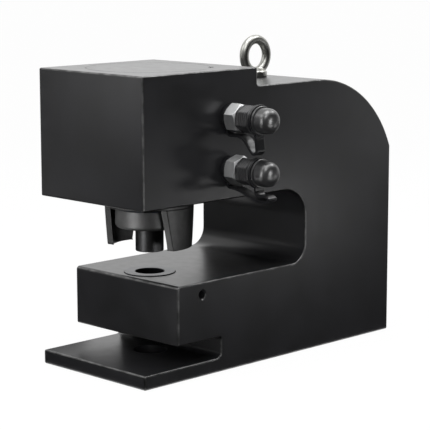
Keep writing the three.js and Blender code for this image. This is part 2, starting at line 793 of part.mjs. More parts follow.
// The middle line of a strap in the plane through the coupler's axis: out, then depth below it.
function strapMiddle(shares, drop) {
  const ringMiddle = (strapRingFaceGap + neckLength - turnedGap) / 2;
  const places = [
    [ringMiddle, strapRingRadius - strapThickness / 2],
    [ringMiddle, (strapRingRadius + strapUnderHex) / 2],
    [ringMiddle + strapThickness, strapUnderHex],
  ];
  for (const [outShare, dropShare] of shares) {
    places.push([outShare * swivelPlane, strapUnderHex + dropShare * (drop - strapUnderHex)]);
  }
  places.push([swivelPlane, swivelTabEnd + turnedGap + strapThickness / 2]);
  places.push([swivelPlane, swivelTabEnd + turnedGap]);
  const curve = new THREE.CatmullRomCurve3(
    places.map(([out, depth]) => new THREE.Vector3(out, -depth, 0)), false, 'centripetal');
  return curve.getSpacedPoints(strapSteps).map((p) => new THREE.Vector2(p.x, p.y));
}

function strapOutline(middle) {
  const left = [];
  const right = [];
  middle.forEach((point, i) => {
    const before = middle[Math.max(i - 1, 0)];
    const after = middle[Math.min(i + 1, middle.length - 1)];
    const along = new THREE.Vector2().subVectors(after, before).normalize();
    const across = new THREE.Vector2(-along.y, along.x).multiplyScalar(strapThickness / 2);
    left.push(point.clone().add(across));
    right.unshift(point.clone().sub(across));
  });
  return [...left, ...right];
}

function capStrap(prefix, shares, drop) {
  const outline = new THREE.Shape(strapOutline(strapMiddle(shares, drop)));
  const ribbonGeometry = new THREE.ExtrudeGeometry(outline, { depth: strapWidth, bevelEnabled: false });
  ribbonGeometry.translate(0, 0, -strapWidth / 2);
  ribbonGeometry.rotateY(-Math.PI / 2);
  const anchorTop = neckLength - turnedGap;
  const anchor = ring(
    portThreadRadius + turnedGap, strapRingRadius, strapRingFaceGap, anchorTop, roundFacets);
  const neckSpace = rod(portThreadRadius + turnedGap, 0, neckLength, roundFacets);
  const solid = toSolid(ribbonGeometry).add(anchor).subtract(neckSpace);
  return toMesh(`${prefix}_cap_strap`, solid, materials.rubber);
}

// The hexagon and the cap's grip are each turned by their own angle, where the threads stop.
function coupler(prefix, height, [hexDegrees, capDegrees], shares, drop) {
  const group = new THREE.Group();
  group.add(couplerBody(prefix, hexDegrees), couplerPoppet(prefix), poppetSpring(prefix));
  group.add(dustCap(prefix, capDegrees), capSwivel(prefix), capStrap(prefix, shares, drop));
  group.position.set(portPlace - bodyLength / 2, -bodyWidth / 2, height);
  group.rotation.x = Math.PI / 2;
  return group;
}

const machine = new THREE.Group();
machine.add(frame(), cylinderCap(), capSeal(), capLockScrew());
machine.add(
  ram(),
  pistonRing('piston_seal', pistonSealBottom, pistonSealWidth, pistonSealDepth, materials.sealPlastic),
  pistonRing('piston_wear_ring', wearRingBottom, wearRingWidth, wearRingDepth, materials.bronze),
  rodGland(),
  rodRing('rod_bush', bushRadius, wiperTop + seatGap, bushTop - seatGap, materials.bronze),
  rodRing('rod_seal', rodSealRadius, rodSealBottom + seatGap, rodSealTop - seatGap, materials.sealPlastic),
  rodRing('rod_wiper', wiperRadius, glandBottom, wiperTop - seatGap, materials.sealPlastic),
);
machine.add(punchNut(), punch(), stripper(), die(), dieSetScrew(), eyeBolt());
machine.add(
  coupler('upper', upperPortHeight, [upperHexDegrees, upperCapDegrees], upperStrapShares, upperStrapDrop),
  coupler('lower', lowerPortHeight, [lowerHexDegrees, lowerCapDegrees], lowerStrapShares, lowerStrapDrop),
);

export default machine;
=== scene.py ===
# Hydraulic punching machine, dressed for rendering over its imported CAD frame.
# The machine's sizes are in millimetres, as in the CAD, and MM turns them to metres.
# The studio's sizes are in metres.
# +Z is up, the throat opens towards -X, and the hose couplers stand out towards -Y.
import math

import bmesh
import bpy
from mathutils import Matrix, Vector


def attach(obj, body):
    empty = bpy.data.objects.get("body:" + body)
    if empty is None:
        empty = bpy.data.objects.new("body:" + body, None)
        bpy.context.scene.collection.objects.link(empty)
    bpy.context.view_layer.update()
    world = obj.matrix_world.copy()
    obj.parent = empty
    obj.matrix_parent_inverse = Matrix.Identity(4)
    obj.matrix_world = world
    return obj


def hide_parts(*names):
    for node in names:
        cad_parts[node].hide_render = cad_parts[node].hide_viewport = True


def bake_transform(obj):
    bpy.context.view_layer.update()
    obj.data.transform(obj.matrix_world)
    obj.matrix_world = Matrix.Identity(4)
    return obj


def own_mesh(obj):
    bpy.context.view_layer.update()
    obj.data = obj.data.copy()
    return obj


MM = 0.001
FULL_TURN = 2 * math.pi
# Edges that bend more than this are sharp
SHARP = math.radians(32)
# Places closer than this, in mm, count as one, and a normal with this share of an axis faces it
NEAR, FACING = 0.01, 0.9
# Steps round the large turned pieces
FINE = 128

# The frame, from its front face at -134 to its back at 134
FRONT, BACK, HALF_WIDTH = -134, 134, 56
HEAD_TOP, HEAD_BOTTOM, HEAD_BACK = 222, 127.5, -20
SHOULDER = 208.5
THROAT_BACK, TABLE_FRONT, SLOT_END = 33.3, -101.5, -58
TABLE_TOP, TABLE_BOTTOM, BASE_PLATE = 70, 26, 10.6
TABLE_EDGE = 2.6
# The long arc at the upper back: the x and z of its centre, and its radius
BACK_ARC = (48.5, 116.5, 92)

# The cylinder's axis, and the radii of its main pieces
WORK_X = -77
BORE, PISTON, CAP_FLANGE = 40, 39.75, 45.5
ROD, ROD_GUIDE, GLAND = 22.5, 22.75, 28.5
GLAND_BOTTOM, GLAND_TOP = 120, 142.8
DIE_SCREW_Z = 60.8
STRIPPER_DEGREES = 14
EYE_BOLT_X = 36
# The cap's lock screw stands astride the joint between the cap and the frame
LOCK_CIRCLE, LOCK_ANGLE = 45.77, math.radians(-45)
LOCK_X = WORK_X + LOCK_CIRCLE * math.cos(LOCK_ANGLE)
LOCK_Y = LOCK_CIRCLE * math.sin(LOCK_ANGLE)

# The couplers, whose sizes along their axes are counted outwards from the frame's near side
PORT_X = -50
UPPER_PORT, LOWER_PORT = 187.6, 149.8
HEXAGON_ACROSS, HEXAGON_START, HEXAGON_END = 19.4, 4.6, 15
GRIP_ACROSS, GRIP_START = 18, 15.3
SWIVEL_START, SWIVEL_END = 29.6, 31.4


# ---- Modelling steps ----

def only(piece):
    """Leaves just this piece selected and active."""
    bpy.ops.object.select_all(action="DESELECT")
    piece.select_set(True)
    bpy.context.view_layer.objects.active = piece
    return piece


def settle(name):
    """Names the newest object and puts its place into its mesh."""
    piece = only(bpy.context.object)
    piece.name = name
    bpy.ops.object.transform_apply(location=True, rotation=True, scale=True)
    return piece


def start_editing(piece, mode):
    only(piece)
    bpy.ops.object.mode_set(mode="EDIT")
    bpy.ops.mesh.select_mode(type=mode)


def stop_editing():
    bpy.ops.object.mode_set(mode="OBJECT")


def pick_all():
    bpy.ops.mesh.select_all(action="SELECT")


def pick_none():
    bpy.ops.mesh.select_all(action="DESELECT")


def pick_faces(piece, wanted):
    """Selects the faces whose middle, in mm, and normal pass the test."""
    pick_none()
    work = bmesh.from_edit_mesh(piece.data)
    for face in work.faces:
        if wanted(face.calc_center_median() / MM, face.normal):
            face.select_set(True)
    work.select_flush(True)
    bmesh.update_edit_mesh(piece.data)


def pick_edges(piece, wanted):
    """Selects the edges whose two ends, in mm, pass the test."""
    pick_none()
    work = bmesh.from_edit_mesh(piece.data)
    for edge in work.edges:
        if wanted(edge.verts[0].co / MM, edge.verts[1].co / MM):
            edge.select_set(True)
    bmesh.update_edit_mesh(piece.data)


def extrude(x=0, z=0):
    bpy.ops.mesh.extrude_region_move(TRANSFORM_OT_translate={"value": (x * MM, 0, z * MM)})


def round_picked(radius, steps):
    bpy.ops.mesh.bevel(offset=radius * MM, segments=steps, affect="EDGES", clamp_overlap=False)


def split_at(height):
    """Cuts a level row of edges into the whole mesh."""
    pick_all()
    bpy.ops.mesh.bisect(plane_co=(0, 0, height * MM), plane_no=(0, 0, 1))


def face_outwards():
    pick_all()
    bpy.ops.mesh.normals_make_consistent(inside=False)


def block(name, low, high):
    """A rectangular blank between two corners."""
    low, high = Vector(low), Vector(high)
    bpy.ops.mesh.primitive_cube_add(
        size=1, location=(low + high) / 2 * MM, scale=(high - low) * MM)
    return settle(name)


def bar(name, sides, radius, depth, middle, turn=(0, 0, 0)):
    """A round or many-sided bar about its middle, turned in degrees."""
    bpy.ops.mesh.primitive_cylinder_add(
        vertices=sides, radius=radius * MM, depth=depth * MM,
        location=[at * MM for at in middle], rotation=[math.radians(angle) for angle in turn])
    return settle(name)


def hexagon_bar(name, across, bottom, top):
    """A hexagonal bar with a corner towards -X."""
    return bar(
        name, 6, across / math.sqrt(3), top - bottom, (0, 0, (bottom + top) / 2), (0, 0, 30))


def draw_line(name, places):
    """Starts a piece as one point, extrudes it through the places and leaves it in edit mode."""
    bpy.ops.mesh.primitive_circle_add(vertices=3, radius=MM)
    piece = settle(name)
    start_editing(piece, "VERT")
    pick_all()
    bpy.ops.mesh.merge(type="CENTER")
    bpy.ops.transform.translate(value=[at * MM for at in places[0]])
    for start, end in zip(places, places[1:]):
        bpy.ops.mesh.extrude_vertices_move(TRANSFORM_OT_translate={
            "value": [(b - a) * MM for a, b in zip(start, end)]})
    return piece


def spun(name, profile, steps=96):
    """Spins a profile of (radius, height) about Z."""
    piece = draw_line(name, [(radius, 0, height) for radius, height in profile])
    pick_all()
    bpy.ops.mesh.spin(steps=steps, angle=FULL_TURN, center=(0, 0, 0), axis=(0, 0, 1))
    pick_all()
    bpy.ops.mesh.remove_doubles(threshold=0.002 * MM)
    face_outwards()
    stop_editing()
    return piece


def closed_ring(inner, outer, bottom, top):
    """The profile of a plain ring, which ends where it starts."""
    return [(inner, bottom), (outer, bottom), (outer, top), (inner, top), (inner, bottom)]


def place(piece, x=0, y=0, z=0, turn=(0, 0, 0)):
    """Turns the piece about the origin, in degrees, moves it, and puts both into its mesh."""
    only(piece)
    piece.rotation_euler = [math.radians(angle) for angle in turn]
    piece.location = (x * MM, y * MM, z * MM)
    bpy.ops.object.transform_apply(location=True, rotation=True, scale=True)
    return piece


def finish_with(piece, kind, **settings):
    """Adds a modifier with its settings and applies it."""
    only(piece)
    modifier = piece.modifiers.new(kind.lower(), kind)
    for name, value in settings.items():
        setattr(modifier, name, value)
    bpy.ops.object.modifier_apply(modifier=modifier.name)
    return piece


def combine(piece, other, operation):
    finish_with(piece, "BOOLEAN", operation=operation, solver="EXACT", object=other)
    bpy.data.objects.remove(other)
    return piece


def cut(piece, *cutters):
    for cutter in cutters:
        combine(piece, cutter, "DIFFERENCE")
    return piece


def break_edges(piece, width, segments=3, material=-1):
    """Rounds every sharp edge by a width in mm, and may give it another of the materials."""
    return finish_with(
        piece, "BEVEL", width=width * MM, segments=segments, limit_method="ANGLE",
        angle_limit=SHARP, material=material, use_clamp_overlap=False, miter_outer="MITER_ARC")


def give_second_material(piece, wanted):
    """Puts the second material on the faces whose middle, in mm, and normal pass the test."""
    for face in piece.data.polygons:
        if wanted(face.center / MM, face.normal):
            face.material_index = 1


def dress(piece, body, finish, node):
    """Shades the piece, adds a material if it has none, and lets it stand for its CAD node."""
    only(piece)
    bpy.ops.object.shade_smooth_by_angle(angle=SHARP)
    finish_with(piece, "WEIGHTED_NORMAL", keep_sharp=True)
    if not piece.data.materials:
        piece.data.materials.append(finish)
    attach(piece, body)
    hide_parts(node)
    return piece


# ---- Materials ----

# How much closer the marks lie along an upright axis, which draws them out round the piece
TURNED, HONED = (1, 1, 6), (1, 1, 5)
# Most of a noise pattern's values lie between these
LOW_NOISE, HIGH_NOISE = 0.35, 0.65


def linear(code):
    """An sRGB hex colour as the linear values that Blender works in."""
    shares = [int(code[i:i + 2], 16) / 255 for i in (1, 3, 5)]
    return [s / 12.92 if s <= 0.04045 else ((s + 0.055) / 1.055) ** 2.4 for s in shares] + [1]


def add(tree, kind, settings=None, links=None):
    """Adds a node. Settings name its properties or sockets, and links its sockets."""
    made = tree.nodes.new(kind)
    for name, value in (settings or {}).items():
        if isinstance(name, str) and hasattr(made, name):
            setattr(made, name, value)
        else:
            made.inputs[name].default_value = value
    for name, source in (links or {}).items():
        tree.links.new(source, made.inputs[name])
    return made


def blank(name):
    """A new material and its empty node tree."""
    material = bpy.data.materials.new(name)
    material.use_nodes = True
    material.node_tree.nodes.clear()
    return material, material.node_tree


def object_space(tree):
    """The coordinates that the patterns read, so that they ride with the piece."""
    return add(tree, "ShaderNodeTexCoord").outputs["Object"]


def noise(tree, where, size, detail):
    """Soft patches of about a size in mm."""
    pattern = add(
        tree, "ShaderNodeTexNoise", {"Scale": 1 / (size * MM), "Detail": detail},
        {"Vector": where})
    return pattern.outputs["Fac"]


def two_tones(tree, pattern, dark, light):
    """A colour that drifts between two tones with a pattern."""
    ramp = add(tree, "ShaderNodeValToRGB", links={"Fac": pattern})
    positions, tones = (LOW_NOISE, HIGH_NOISE), (dark, light)
    for stop, position, tone in zip(ramp.color_ramp.elements, positions, tones):
        stop.position = position
        stop.color = linear(tone)
    return ramp.outputs["Color"]


def uneven_gloss(tree, pattern, smooth, rough):
    """A roughness that follows a pattern."""
    spread = add(
        tree, "ShaderNodeMapRange", {"To Min": smooth, "To Max": rough}, {"Value": pattern})
    return spread.outputs["Result"]


def relief(tree, pattern, strength, depth):
    """Fine bumps that follow a pattern, with their depth in mm."""
    bump = add(
        tree, "ShaderNodeBump", {"Strength": strength, "Distance": depth * MM},
        {"Height": pattern})
    return bump.outputs["Normal"]


def shade(tree, settings, colour, roughness, normal):
    shader = add(tree, "ShaderNodeBsdfPrincipled", settings, {
        "Base Color": colour, "Roughness": roughness, "Normal": normal})
    add(tree, "ShaderNodeOutputMaterial", links={"Surface": shader.outputs["BSDF"]})


def satin_black_enamel():
    """Stoved black enamel on machined plate: nearly black, with a soft broad shine."""
    material, tree = blank("satin_black_enamel")
    where = object_space(tree)
    # Slow drifts in the film's thickness, 30 mm across
    colour = two_tones(tree, noise(tree, where, 30, 3), "#141415", "#18181a")
    # Handling leaves the gloss a little uneven, in patches of about 8 mm
    gloss = uneven_gloss(tree, noise(tree, where, 8, 4), 0.26, 0.36)
    # The skin of sprayed enamel has waves about 1.2 mm apart
    skin = relief(tree, noise(tree, where, 1.2, 2), 0.12, 0.03)
    shade(tree, {"IOR": 1.5}, colour, gloss, skin)
    return material


def metal(name, dark, light, smooth, rough, grain, bump, squeeze=(1, 1, 1)):
    """A bare metal: its tone drifts with stains, and its gloss with the marks of its making.

    grain is the marks' spacing in mm, and squeeze says how much closer they lie along each axis.
    """
    material, tree = blank(name)
    where = object_space(tree)
    along = add(tree, "ShaderNodeMapping", {"Scale": squeeze}, {"Vector": where})
    marks = noise(tree, along.outputs["Vector"], grain, 4)
    stains = noise(tree, where, 9, 3)
    shade(
        tree, {"Metallic": 1}, two_tones(tree, stains, dark, light),
        uneven_gloss(tree, marks, smooth, rough), relief(tree, marks, bump, 0.02))
    return material


def polymer(name, dark, light, smooth, rough, grain, bump, ior):
    """A moulded plastic or rubber: slow clouds in its tone, and the fine grain of its mould.

    grain is the spacing of the grain in mm.
    """
    material, tree = blank(name)
    where = object_space(tree)
    texture = noise(tree, where, grain, 3)
    clouds = noise(tree, where, 6, 3)
    shade(
        tree, {"IOR": ior}, two_tones(tree, clouds, dark, light),
        uneven_gloss(tree, clouds, smooth, rough), relief(tree, texture, bump, 0.02))
    return material


def finishes():
    """Every finish on the machine, by the name of what it is."""
    return {
        "enamel": satin_black_enamel(),
        # A brighter bare metal on the edges: a painted highlight for the light lines along them
        "edge_highlight": metal("painted_edge_highlight_metal", "#4c4c4c", "#747474", 0.3, 0.4, 3, 0.1),
        # Hot-blackened steel keeps a dark, even sheen, and a turned nut wears lighter
        "blackened": metal("hot_blackened_steel", "#4c4c4c", "#575757", 0.42, 0.5, 0.8, 0.2),
        "worn": metal(
            "worn_blackened_steel", "#727272", "#7e7e7e", 0.46, 0.54, 0.8, 0.2, TURNED),
        # Tools are ground round, then oiled
        "tool": metal("oiled_tool_steel", "#4a4a4b", "#575758", 0.36, 0.44, 0.5, 0.15, TURNED),
        # A hardened die is blackened too, but darker and glossier
        "die": metal("blackened_tool_steel", "#3c3d40", "#48494c", 0.3, 0.4, 0.5, 0.2),
        # Zinc over a forged ring has a satin, slightly warm grey
        "zinc": metal("satin_zinc_plate", "#9a9a96", "#b0b0ab", 0.3, 0.38, 0.9, 0.1),
        # Zinc over turned bar is paler, and scatters the light more
        "dull_zinc": metal("dull_zinc_plate", "#c8c9ca", "#dcdddd", 0.52, 0.6, 0.5, 0.3),
        # A honed rod reflects sharply, with a fine cross hatch
        "honed": metal("honed_steel", "#b4b5b8", "#c4c5c8", 0.14, 0.24, 0.4, 0.15, HONED),
        # Drawn spring wire is a middle grey that glints along its coils
        "spring": metal("spring_steel", "#7c7d80", "#8f9093", 0.25, 0.4, 0.4, 0.2),
        # Bearing bronze shows a warm yellow brown
        "bronze": metal("bearing_bronze", "#a8824a", "#ba945a", 0.28, 0.4, 0.7, 0.2, HONED),
        # Injection-moulded nylon is a very dark grey with a soft, even gloss
        "nylon": polymer("black_moulded_nylon", "#161617", "#1c1c1d", 0.28, 0.34, 0.5, 0.08, 1.9),
        # The ribs of its grip are left as they come from the mould, and look duller
        "grip": polymer("black_nylon_grip", "#121213", "#18181a", 0.42, 0.5, 0.5, 0.15, 1.5),
        # Nitrile rubber is as dark, and its gloss is broken by the mould's grain
        "rubber": polymer(
            "black_nitrile_rubber", "#0f0f11", "#161618", 0.26, 0.34, 0.5, 0.2, 1.52),
        # Cast polyurethane seals are a satin dark blue
        "seal": polymer("polyurethane_seal", "#2c4a66", "#355573", 0.3, 0.4, 0.5, 0.15, 1.5),
    }


# ---- Frame ----

def along_y(x, z):
    """Picks the edges that run across the frame at a place in its outline."""
    def wanted(a, b):
        return all(abs(end.x - x) < NEAR and abs(end.z - z) < NEAR for end in (a, b))
    return wanted


def frame_blank():
    """Extrudes the table, slot, base plate and head forwards out of the back column."""
    piece = block("frame_body", (THROAT_BACK, -HALF_WIDTH, 0), (BACK, HALF_WIDTH, SHOULDER))
    start_editing(piece, "FACE")
    for height in (BASE_PLATE, TABLE_BOTTOM, TABLE_TOP, HEAD_BOTTOM):
        split_at(height)
    for start, low, high, end in (
            # The table up to the slot's end, its part over the slot, and the base plate
            (THROAT_BACK, 0, TABLE_TOP, SLOT_END),
            (SLOT_END, TABLE_BOTTOM, TABLE_TOP, TABLE_FRONT),
            (SLOT_END, 0, BASE_PLATE, FRONT),
            # The shoulder behind the head, and the head
            (THROAT_BACK, HEAD_BOTTOM, SHOULDER, HEAD_BACK),
            (HEAD_BACK, HEAD_BOTTOM, SHOULDER, FRONT)):
        pick_faces(piece, lambda middle, normal: (
            normal.x < -FACING and abs(middle.x - start) < NEAR and low < middle.z < high))
        extrude(x=end - start)
    pick_faces(piece, lambda middle, normal: (
        normal.z > FACING and abs(middle.z - SHOULDER) < NEAR and middle.x < HEAD_BACK))
    extrude(z=HEAD_TOP - SHOULDER)
    pick_all()
    bpy.ops.mesh.dissolve_limited(angle_limit=math.radians(0.5))
    for x, z, radius, steps in (
            (THROAT_BACK, HEAD_BOTTOM, 23, 14), (THROAT_BACK, TABLE_TOP, 14, 12),
            (SLOT_END, TABLE_BOTTOM, 2, 4), (SLOT_END, BASE_PLATE, 4, 5),
            (TABLE_FRONT, TABLE_TOP, TABLE_EDGE, 5), (HEAD_BACK, SHOULDER, 2, 5)):
        bpy.ops.mesh.select_mode(type="EDGE")
        pick_edges(piece, along_y(x, z))
        round_picked(radius, steps)
    stop_editing()
    return piece


def back_arc_cutter():
    """What a long arc takes off the frame's upper back corner."""
    x, z, radius = BACK_ARC
    corner = block(
        "back_arc", (x, -HALF_WIDTH - 5, z), (BACK + 10, HALF_WIDTH + 5, SHOULDER + 10))
    # A hair over the radius, so that the arc leaves the flat in one line and not in a step
    disc = bar("back_arc_disc", 256, radius + 0.02, 4 * HALF_WIDTH, (x, 0, z), (90, 0, 0))
    return cut(corner, disc)


def cylinder_cutter():
    """The stepped bore: the gland's thread, the cylinder and the cap's thread."""
    return place(spun("cylinder_bore", [
        (0, 126), (29.2, 126), (29.2, HEAD_BOTTOM), (28.7, HEAD_BOTTOM + 0.5), (28.7, 143),
        (BORE, 143), (BORE, 206), (45.75, 206), (45.75, HEAD_TOP - 0.25),
        (46.0, HEAD_TOP), (46.0, HEAD_TOP + 1), (0, HEAD_TOP + 1)], FINE), x=WORK_X)


def slug_way_cutter():
    """The die's seat, the way down for the slug and the hole in the base plate."""
    return place(spun("slug_way", [
        (0, -1), (12.9, -1), (12.9, 0), (12.5, 0.4), (12.5, 10.2), (12.9, 10.6), (12.9, 18),
        (13.5, 18), (13.5, 40), (19.2, 40), (19.2, TABLE_TOP - 0.3), (19.5, TABLE_TOP),
        (19.5, TABLE_TOP + 1), (0, TABLE_TOP + 1)]), x=WORK_X)


def top_hole_cutter(name, radius, top, depth, x, y=0):
    """A plain hole drilled down from a top face."""
    return place(spun(name, [
        (0, top - depth), (radius, top - depth), (radius, top + 1), (0, top + 1)], 32), x=x, y=y)


def cap_lock_cutter():
    return top_hole_cutter("cap_lock_hole", 2.2, HEAD_TOP, 8, LOCK_X, LOCK_Y)


def side_hole_cutter(name, profile, x, z):
    """A hole drilled from the near side: the profile's heights are depths below the face."""
    return place(spun(name, profile, 48), x=x, y=-HALF_WIDTH, z=z, turn=(-90, 0, 0))


def frame_body(finish, edge_highlight):
    """The one-piece frame, whose edges carry a brighter metal as a painted highlight."""
    piece = frame_blank()
    cut(piece, back_arc_cutter())
    piece.data.materials.append(finish)
    piece.data.materials.append(edge_highlight)
    # The rounded edges get the second material, a bright metal that paints in their highlight
    break_edges(piece, 1.3, material=1)
    # The table's front edge has its own larger rounding, and the painted highlight metal takes its
    # middle
    give_second_material(piece, lambda middle, normal: (
        middle.x < TABLE_FRONT + TABLE_EDGE and TABLE_TOP - TABLE_EDGE < middle.z < TABLE_TOP
        and 0.3 < normal.z < 0.85))
    cut(piece, cylinder_cutter(), slug_way_cutter())
    port = [(0, -1), (9, -1), (9, 0), (8.6, 0.4), (8.6, 13), (3, 13), (3, 30), (0, 30)]
    for name, height in (("upper_port", UPPER_PORT), ("lower_port", LOWER_PORT)):
        cut(piece, side_hole_cutter(name, port, PORT_X, height))
    cut(piece, side_hole_cutter("die_screw_hole", [
        (0, -1), (5.1, -1), (4.1, 0), (3.2, 0.9), (3.2, 42), (0, 42)], WORK_X, DIE_SCREW_Z))
    cut(piece, cap_lock_cutter())
    cut(piece, top_hole_cutter("eye_bolt_hole", 4.2, SHOULDER, 14, EYE_BOLT_X))
    return dress(piece, "frame_body", finish, "frame")


def cylinder_cap(finish):
    """The cap that closes the cylinder, flush with the head's top."""
    piece = spun("screwed_cap", [
        (0, 200), (PISTON, 200), (PISTON, 201.6), (37.15, 201.6), (37.15, 204.4),
        (PISTON, 204.4), (PISTON, 206.2), (CAP_FLANGE, 206.2), (CAP_FLANGE, HEAD_TOP - 0.3),
        (CAP_FLANGE - 0.3, HEAD_TOP), (0, HEAD_TOP)], FINE)
    cut(place(piece, x=WORK_X), cap_lock_cutter())
    return dress(piece, "frame_body", finish, "cylinder_cap")


def socket_screw(name, radius, bottom, top):
    """A grub screw with a hexagon socket in its top."""
    chamfer = 0.4
    piece = spun(name, [
        (0, bottom), (radius - chamfer, bottom), (radius, bottom + chamfer),
        (radius, top - chamfer), (radius - chamfer, top), (0, top)], 48)
    across = 2 * radius * 0.58
    return cut(piece, bar("hexagon_socket", 6, across / math.sqrt(3), 8, (0, 0, top + 1)))


def grub_screws(finish):
    lock = socket_screw("cap_grub_screw", 2, HEAD_TOP - 7.8, HEAD_TOP - 0.7)
    place(lock, x=LOCK_X, y=LOCK_Y)
    dress(lock, "frame_body", finish, "cap_lock_screw")
    clamp = socket_screw("die_grub_screw", 3, 0, 12)
    place(clamp, x=WORK_X, y=-18.4, z=DIE_SCREW_Z, turn=(90, 0, 0))
    dress(clamp, "frame_body", finish, "die_set_screw")


# ---- Cylinder ----

def ram(finish):
    """The piston with its two ring grooves, and the rod with a seat for the punch."""
    piece = spun("piston_and_rod", [
        (0, 112.8), (21, 112.8), (21, 119), (ROD, 119), (ROD, 163.2), (30, 163.2), (30, 169.2),
        (PISTON, 169.2), (PISTON, 171.333), (37.35, 171.333), (37.35, 174.933),
        (PISTON, 174.933), (PISTON, 177.067), (35.95, 177.067), (35.95, 181.067),
        (PISTON, 181.067), (PISTON, 183.2), (30, 183.2), (30, 199.8), (0, 199.8)], FINE)
    break_edges(piece, 0.3, 2)
    return dress(place(piece, x=WORK_X), "ram_body", finish, "ram")


def rod_gland(finish):
    """The sleeve screwed up into the head, with seats for the rod's rings."""
    piece = spun("screwed_gland", [
        (25.9, GLAND_BOTTOM), (GLAND, GLAND_BOTTOM), (GLAND, GLAND_TOP), (23, GLAND_TOP),
        (23, 141.6), (26.1, 141.6), (26.1, 137.4), (23, 137.4), (23, 135.4), (25.3, 135.4),
        (25.3, 124.2), (25.9, 124.2), (25.9, GLAND_BOTTOM)], FINE)
    break_edges(piece, 0.25, 2)
    return dress(place(piece, x=WORK_X), "frame_body", finish, "rod_gland")


def cylinder_rings(finish):
    """Seals, wiper and guide rings, each with rounded edges."""
    for node, inner, outer, bottom, top, body, slot, look in (
            ("piston_seal", 36.15, PISTON, 177.267, 180.867, "ram_body", "seal_plastic", "seal"),
            ("piston_wear_ring", 37.55, PISTON, 171.533, 174.733, "ram_body", "bronze", "bronze"),
            ("cap_seal", 37.35, PISTON, 201.8, 204.2, "frame_body", "rubber", "rubber"),
            ("rod_bush", ROD_GUIDE, 25.1, 124.4, 135.2, "frame_body", "bronze", "bronze"),
            ("rod_seal", ROD_GUIDE, 25.9, 137.6, 141.4, "frame_body", "seal_plastic", "seal"),
            ("rod_wiper", ROD_GUIDE, 25.7, GLAND_BOTTOM, 124, "frame_body", "seal_plastic",
             "seal")):
        piece = spun("round_" + node, closed_ring(inner, outer, bottom, top))
        break_edges(piece, 0.35, 2)
        dress(place(piece, x=WORK_X), body, finish[look], node)


# ---- Punching tools ----

def punch_nut(finish):
    """A round nut with a well rounded lower rim."""
    piece = spun("round_nut", [
        (10.7, 104.4), (22.5, 104.4), (23.65, 104.63), (24.62, 105.28), (25.27, 106.25),
        (25.5, 107.4), (25.5, 118.3), (25, 118.8), (21.2, 118.8), (21.2, 112.6), (15.2, 112.6),
        (15.2, 107.4), (10.7, 107.4), (10.7, 104.4)], FINE)
    break_edges(piece, 0.2, 2)
    return dress(place(piece, x=WORK_X), "ram_body", finish, "punch_nut")


def punch(finish):
    piece = spun("round_punch", [
        (0, 86.3), (10.1, 86.3), (10.5, 86.7), (10.5, 107.6), (15, 107.6), (15, 112.6),
        (0, 112.6)])
    break_edges(piece, 0.12, 2)
    return dress(place(piece, x=WORK_X), "ram_body", finish, "punch")


def stripper(finish):
    """A cone shell whose sides are cut away to leave two legs under a screwed ring."""
    piece = spun("two_leg_stripper", [
        (27, 90), (31.8, 90), (33.3, 127.3), (28.8, 127.3), (28.8, GLAND_BOTTOM), (27, 90)],
        FINE)
    # The legs are 25.5 mm wide at their feet and 37.5 mm at the ring
    foot, root = 25.5, 37.5
    legs = block("stripper_legs", (-foot / 2, -40, 80), (foot / 2, 40, 90))
    start_editing(legs, "FACE")
    pick_faces(legs, lambda middle, normal: normal.z > FACING)
    extrude(z=30.5)
    bpy.ops.transform.resize(value=(root / foot, 1, 1))
    stop_editing()
    combine(legs, block("stripper_ring_zone", (-40, -40, 120.5), (40, 40, 130)), "UNION")
    combine(piece, legs, "INTERSECT")
    break_edges(piece, 0.5)
    place(piece, x=WORK_X, turn=(0, 0, STRIPPER_DEGREES))
    return dress(piece, "frame_body", finish, "stripper")


def die(finish):
    """The die ring, with a round flat in its side for the set screw's tip."""
    piece = spun("die_ring", [
        (12.4, 40.2), (19, 40.2), (19, 70.35), (18.75, 70.6), (11.4, 70.6), (10.9, 70.1),
        (10.9, 58), (12.4, 58), (12.4, 40.2)], FINE)
    cut(piece, bar("die_flat", 48, 6, 10, (0, -23.2, DIE_SCREW_Z), (90, 0, 0)))
    return dress(place(piece, x=WORK_X), "frame_body", finish, "die")


def eye_bolt(finish):
    """A forged ring that flows into its collar."""
    ring_radius, bar_radius, ring_height = 12.4, 3.6, 225
    piece = spun("lifting_eye", [
        (0, 195.5), (3.4, 195.5), (4, 196.3), (4, 208.7), (8.9, 208.7), (9.2, 209), (9.2, 212.4),
        (8.2, 213.6), (5.6, 214.6), (0, 214.6)], 64)
    bpy.ops.mesh.primitive_torus_add(
        major_radius=ring_radius * MM, minor_radius=bar_radius * MM, major_segments=96,
        minor_segments=32, location=(0, 0, ring_height * MM), rotation=(math.pi / 2, 0, 0))
    hoop = settle("eye_bolt_ring")
    cut(hoop, block("under_the_collar", (-20, -20, 190), (20, 20, 211)))
    combine(piece, hoop, "UNION")
    # A fine net over both, smoothed, runs the ring and the collar into each other
    finish_with(piece, "REMESH", mode="VOXEL", voxel_size=0.35 * MM, use_smooth_shade=True)
    finish_with(piece, "SMOOTH", factor=0.5, iterations=8)
    return dress(place(piece, x=EYE_BOLT_X), "frame_body", finish, "eye_bolt")


# ---- Hose couplers: modelled along +Z, then turned to point out of the near side ----

def stand_out(piece, height):
    return place(piece, x=PORT_X, y=-HALF_WIDTH, z=height, turn=(90, 0, 0))


